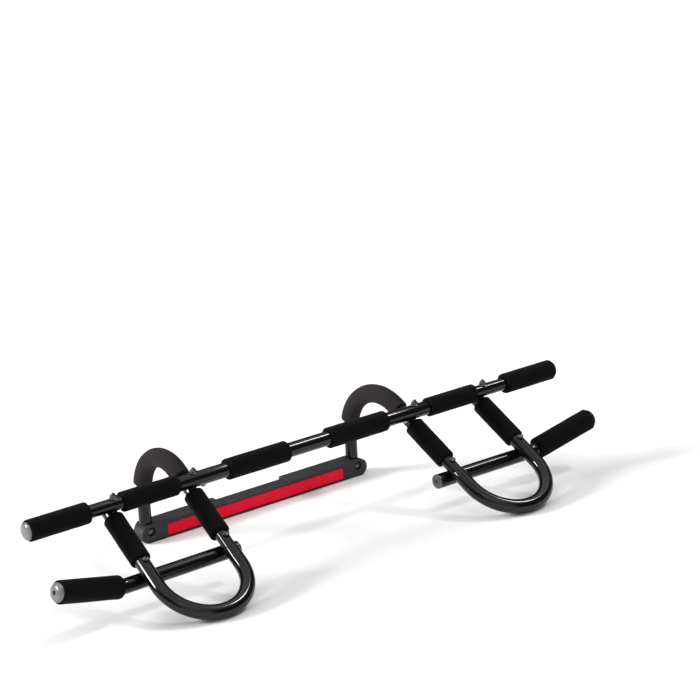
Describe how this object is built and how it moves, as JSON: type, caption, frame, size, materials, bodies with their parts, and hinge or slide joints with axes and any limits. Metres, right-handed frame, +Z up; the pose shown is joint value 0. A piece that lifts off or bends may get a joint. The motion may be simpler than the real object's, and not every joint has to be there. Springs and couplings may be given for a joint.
{
  "type": "pull up bar",
  "caption": "Doorway pull-up bar of bolted steel tube: long main bar, two looped front handles, angled lower grips, over-wall hooks and a padded back rail.",
  "frame": {"origin": "bottom centre of the whole frame as it lies on its rail and handle bends", "axes": "+X along the main bar, +Y towards the rail, +Z up in the lying pose"},
  "size_m": [1.134, 0.3922, 0.183],
  "materials": {
    "tube_black": "gloss black powder coat",
    "foam_black": "matte closed-cell foam",
    "foam_grey": "matte grey-brown closed-cell foam",
    "rail_charcoal": "moulded, lightly ribbed",
    "strip_red": "matte red pad",
    "cap_silver": "silver-grey plastic",
    "cap_black": "black plastic",
    "zinc_dark": "dark zinc plate",
    "steel_plain": "plain steel"
  },
  "bodies": {
    "frame": {"arm_bolt_inner_left": "zinc_dark", "arm_bolt_inner_right": "zinc_dark", "arm_bolt_outer_left": "zinc_dark", "arm_bolt_outer_right": "zinc_dark", "arm_grip_inner_left": "foam_black", "arm_grip_inner_right": "foam_black", "arm_grip_outer_left": "foam_black", "arm_grip_outer_right": "foam_black", "arm_nut_inner_left": "zinc_dark", "arm_nut_inner_right": "zinc_dark", "arm_nut_outer_left": "zinc_dark", "arm_nut_outer_right": "zinc_dark", "bar_bolt_inner_left": "zinc_dark", "bar_bolt_inner_right": "zinc_dark", "bar_bolt_outer_left": "zinc_dark", "bar_bolt_outer_right": "zinc_dark", "bar_end_cap_left": "cap_silver", "bar_end_cap_right": "cap_black", "bar_grip_center_left": "foam_black", "bar_grip_center_right": "foam_black", "bar_grip_mid_left": "foam_black", "bar_grip_mid_right": "foam_black", "bar_grip_outer_left": "foam_black", "bar_grip_outer_right": "foam_black", "bar_nut_inner_left": "zinc_dark", "bar_nut_inner_right": "zinc_dark", "bar_nut_outer_left": "zinc_dark", "bar_nut_outer_right": "zinc_dark", "center_tube": "tube_black", "end_tube_left": "tube_black", "end_tube_right": "tube_black", "handle_plug_left": "cap_black", "handle_plug_right": "cap_black", "handle_tube_left": "tube_black", "handle_tube_right": "tube_black", "hook_sleeve_left": "foam_grey", "hook_sleeve_right": "foam_grey", "hook_tube_left": "tube_black", "hook_tube_right": "tube_black", "lower_bar_left": "tube_black", "lower_bar_right": "tube_black", "lower_grip_left": "foam_black", "lower_grip_right": "foam_black", "lower_plug_left": "cap_black", "lower_plug_right": "cap_black", "lower_tip_cap_left": "cap_silver", "lower_tip_cap_right": "cap_black", "rail_bolt_left": "zinc_dark", "rail_bolt_right": "zinc_dark", "rail_core": "steel_plain", "rail_end_left": "rail_charcoal", "rail_end_right": "rail_charcoal", "rail_middle": "rail_charcoal", "rail_nut_left": "zinc_dark", "rail_nut_right": "zinc_dark", "rail_strip": "strip_red", "snap_spring_left": "steel_plain", "snap_spring_right": "steel_plain"},
    "button_left": {"snap_button_left": "steel_plain"},
    "button_right": {"snap_button_right": "steel_plain"}
  },
  "joints": [
    {"name": "snap_button_left_press", "type": "slide", "parent": "frame", "child": "button_left", "axis": [0, 0, 1], "range_m": [0, 0.004], "stiffness_N_per_m": 3000, "deforming": ["snap_spring_left"]},
    {"name": "snap_button_right_press", "type": "slide", "parent": "frame", "child": "button_right", "axis": [0, 0, 1], "range_m": [0, 0.004], "stiffness_N_per_m": 3000, "deforming": ["snap_spring_right"]}
  ]
}
